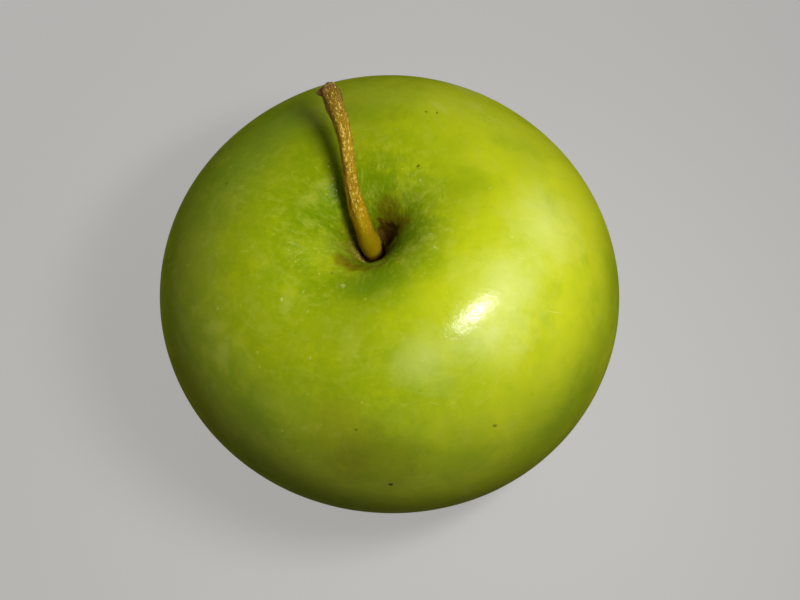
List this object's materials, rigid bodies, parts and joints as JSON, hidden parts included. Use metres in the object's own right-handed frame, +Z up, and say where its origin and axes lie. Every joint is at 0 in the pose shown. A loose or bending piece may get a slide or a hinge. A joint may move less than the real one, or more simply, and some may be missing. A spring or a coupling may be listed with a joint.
{
  "type": "green apple",
  "caption": "Whole green apple, upright on its base lobes, with an uneven shoulder, a deep stalk cavity, a long curved woody stalk and a dried calyx underneath.",
  "frame": {"origin": "on the table plane, under the middle of the fruit's box", "axes": "+Z up through the fruit from its base to its stalk cavity; +X to the viewer's right, along its widest girth; +Y away from the viewer, the way the stalk leans"},
  "size_m": [0.0816, 0.0784, 0.0766],
  "materials": {
    "skin": "waxy fruit skin, yellow-green with paler mottling and small pale pores, a soft gloss, browner and duller round the stalk",
    "stalk_wood": "rough woody stalk, olive yellow at its foot, golden brown along its ridges and dark brown at its knob",
    "dry_sepal": "dried leafy sepals, matt dark brown"
  },
  "bodies": {
    "root": {"fruit": "skin", "stem": "stalk_wood", "calyx": "dry_sepal"}
  },
  "joints": []
}
